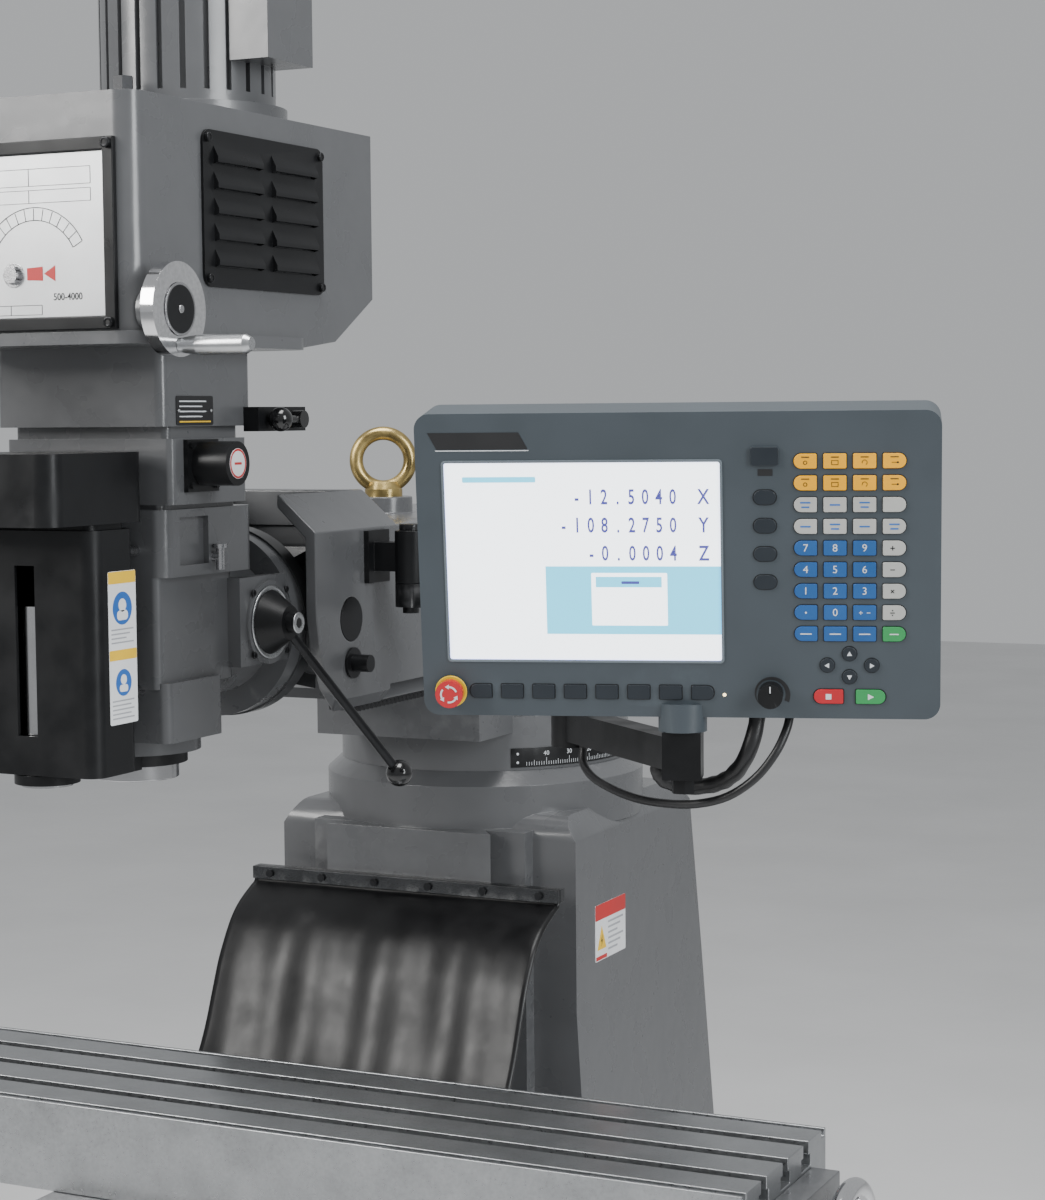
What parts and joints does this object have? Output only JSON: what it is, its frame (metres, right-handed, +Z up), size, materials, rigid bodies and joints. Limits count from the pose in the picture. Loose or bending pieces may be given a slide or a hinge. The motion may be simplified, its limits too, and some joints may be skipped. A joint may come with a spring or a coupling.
{
  "type": "vertical milling machine",
  "caption": "Turret knee milling machine with a swivelling ram and head, sliding quill, vari-speed belt drive, knee, saddle and T-slot table, and an arm-mounted control console.",
  "frame": {"origin": "on the floor, under the turret axis", "axes": "+X to the machine's right, -Y out of the machine's front towards the operator, +Z up"},
  "size_m": [1.6421, 1.478, 2.197],
  "materials": {
    "aluminium": "brushed",
    "black": "satin",
    "cable": "matt",
    "cast": "satin",
    "chrome": "polished",
    "console": "satin",
    "keys": "satin",
    "oxide": "black oxide",
    "plastic": "matt",
    "red": "gloss",
    "rubber": "matt",
    "screen": "lit",
    "steel": "ground",
    "zinc": "plated"
  },
  "bodies": {
    "base": {"base_casting": "cast", "column_casting": "cast", "elevating_nut": "cast", "way_strip": "steel", "way_strip_screws": "oxide", "way_cover": "rubber"},
    "knee": {"knee_casting": "cast"},
    "lift_screw": {"elevating_screw": "steel"},
    "knee_handle": {"knee_crank": "black"},
    "saddle": {"saddle_casting": "cast"},
    "cross_feed": {"cross_screw": "steel", "cross_wheel": "chrome"},
    "table_body": {"table": "steel", "table_brackets": "cast"},
    "table_feed": {"table_screw": "steel", "table_wheels": "chrome"},
    "turret": {"turret_casting": "cast", "degree_scale": "black", "ram_gibs": "cast"},
    "ram": {"ram_casting": "cast", "ram_rack": "oxide", "eye_bolt": "zinc", "knuckle_bolts": "oxide", "arm_bracket": "black"},
    "adapter": {"adapter_casting": "cast"},
    "head": {"head_casting": "cast", "belt_housing": "cast", "housing_frame": "black", "nameplate": "aluminium", "vent_plate": "black", "housing_screws": "oxide", "motor": "cast", "fan_cover": "black", "feed_cap": "black", "range_bracket": "black", "cover_lower": "black", "cover_upper": "black", "cover_studs": "steel"},
    "quill_body": {"quill": "steel", "quill_yoke": "black", "push_tube": "steel"},
    "spindle_body": {"spindle": "steel", "drawbar": "oxide"},
    "feed_screw": {"ball_screw": "steel"},
    "speed_wheel_body": {"speed_wheel": "chrome"},
    "speed_handle": {"wheel_handle": "steel"},
    "feed_lever": {"feed_hub": "black", "feed_rod": "oxide", "feed_ball": "plastic"},
    "range_lever_body": {"range_lever": "plastic"},
    "quill_lock_body": {"quill_lock": "steel"},
    "arm_inner": {"arm_link_inner": "black"},
    "arm_outer": {"arm_link_outer": "black"},
    "console": {"console_shell": "console", "console_screen": "screen", "console_keys": "keys", "console_cable": "cable", "console_conduit": "cable"},
    "stop": {"stop_button": "red"},
    "dial": {"feed_knob": "plastic"}
  },
  "joints": [
    {"name": "knee_lift", "type": "slide", "parent": "base", "child": "knee", "axis": [0, 0, 1], "range_m": [-0.09, 0.3], "deforming": ["way_cover"]},
    {"name": "lift_screw_spin", "type": "hinge", "parent": "knee", "child": "lift_screw", "pos_m": [0, -0.43, 0.3], "axis": [0, 0, 1], "range_deg": [-5108, 17013]},
    {"name": "knee_crank_turn", "type": "hinge", "parent": "knee", "child": "knee_handle", "pos_m": [-0.2, -0.56, 0.56], "axis": [1, 0, 0], "range_deg": [-12761, 42525]},
    {"name": "saddle_cross", "type": "slide", "parent": "knee", "child": "saddle", "axis": [0, 1, 0], "range_m": [-0.2, 0.12]},
    {"name": "cross_wheel_turn", "type": "hinge", "parent": "knee", "child": "cross_feed", "pos_m": [0, -0.887, 0.6], "axis": [0, 1, 0], "range_deg": [-14179, 8509]},
    {"name": "table_travel", "type": "slide", "parent": "saddle", "child": "table_body", "axis": [1, 0, 0], "range_m": [-0.38, 0.38]},
    {"name": "table_wheel_turn", "type": "hinge", "parent": "table_body", "child": "table_feed", "pos_m": [0, -0.61, 0.787], "axis": [1, 0, 0], "range_deg": [-26935, 26935]},
    {"name": "turret_swivel", "type": "hinge", "parent": "base", "child": "turret", "pos_m": [0, 0, 1.175], "axis": [0, 0, 1], "range_deg": [-180, 180]},
    {"name": "ram_slide", "type": "slide", "parent": "turret", "child": "ram", "axis": [0, -1, 0], "range_m": [-0.24, 0.05]},
    {"name": "head_nod", "type": "hinge", "parent": "ram", "child": "adapter", "pos_m": [0, -0.577, 1.4], "axis": [1, 0, 0], "range_deg": [-15, 15]},
    {"name": "head_tilt", "type": "hinge", "parent": "adapter", "child": "head", "pos_m": [0, -0.64, 1.4], "axis": [0, 1, 0], "range_deg": [-50, 30]},
    {"name": "quill_feed", "type": "slide", "parent": "head", "child": "quill_body", "axis": [0, 0, 1], "range_m": [-0.127, 0]},
    {"name": "feed_screw_spin", "type": "hinge", "parent": "head", "child": "feed_screw", "pos_m": [-0.005, -0.955, 1.4], "axis": [0, 0, 1], "range_deg": [-9005, 0]},
    {"name": "feed_lever_turn", "type": "hinge", "parent": "head", "child": "feed_lever", "pos_m": [0.098, -0.702, 1.406], "axis": [1, 0, 0], "range_deg": [-248, 0]},
    {"name": "spindle_spin", "type": "hinge", "parent": "quill_body", "child": "spindle_body", "pos_m": [0, -0.809, 1.3], "axis": [0, 0, 1], "continuous": true},
    {"name": "speed_wheel_turn", "type": "hinge", "parent": "head", "child": "speed_wheel_body", "pos_m": [0.15, -0.963, 1.7216], "axis": [1, 0, 0], "range_deg": [-900, 900]},
    {"name": "speed_handle_spin", "type": "hinge", "parent": "speed_wheel_body", "child": "speed_handle", "pos_m": [0.2, -0.963, 1.688], "axis": [1, 0, 0], "continuous": true},
    {"name": "range_shift", "type": "hinge", "parent": "head", "child": "range_lever_body", "pos_m": [0.119, -0.69, 1.618], "axis": [1, 0, 0], "range_deg": [-30, 30]},
    {"name": "quill_lock_turn", "type": "hinge", "parent": "head", "child": "quill_lock_body", "pos_m": [0.09, -0.797, 1.48], "axis": [1, 0, 0], "range_deg": [-60, 60]},
    {"name": "arm_swing", "type": "hinge", "parent": "ram", "child": "arm_inner", "pos_m": [0.17, -0.524, 1.45], "axis": [0, 0, 1], "range_deg": [0, 60]},
    {"name": "elbow_swing", "type": "hinge", "parent": "arm_inner", "child": "arm_outer", "pos_m": [0.44, -0.694, 1.334], "axis": [0, 0, 1], "range_deg": [0, 40]},
    {"name": "console_swivel", "type": "hinge", "parent": "arm_outer", "child": "console", "pos_m": [0.624, -0.856, 1.334], "axis": [0, 0, 1], "range_deg": [-20, 30]},
    {"name": "stop_push", "type": "slide", "parent": "console", "child": "stop", "axis": [-0.2862, 0.948, 0.1392], "range_m": [0, 0.0035]},
    {"name": "dial_turn", "type": "hinge", "parent": "console", "child": "dial", "pos_m": [0.70483, -0.84669, 1.37112], "axis": [-0.2862, 0.948, 0.1392], "range_deg": [-140, 140]}
  ],
  "couplings": [
    {"joint": "lift_screw_spin", "follows": "knee_lift", "rad_per_m": 989.48},
    {"joint": "knee_crank_turn", "follows": "knee_lift", "rad_per_m": 2473.7},
    {"joint": "cross_wheel_turn", "follows": "saddle_cross", "rad_per_m": 1236.8},
    {"joint": "table_wheel_turn", "follows": "table_travel", "rad_per_m": 1236.8},
    {"joint": "feed_screw_spin", "follows": "quill_feed", "rad_per_m": 1236.8},
    {"joint": "feed_lever_turn", "follows": "quill_feed", "rad_per_m": 33.3}
  ]
}
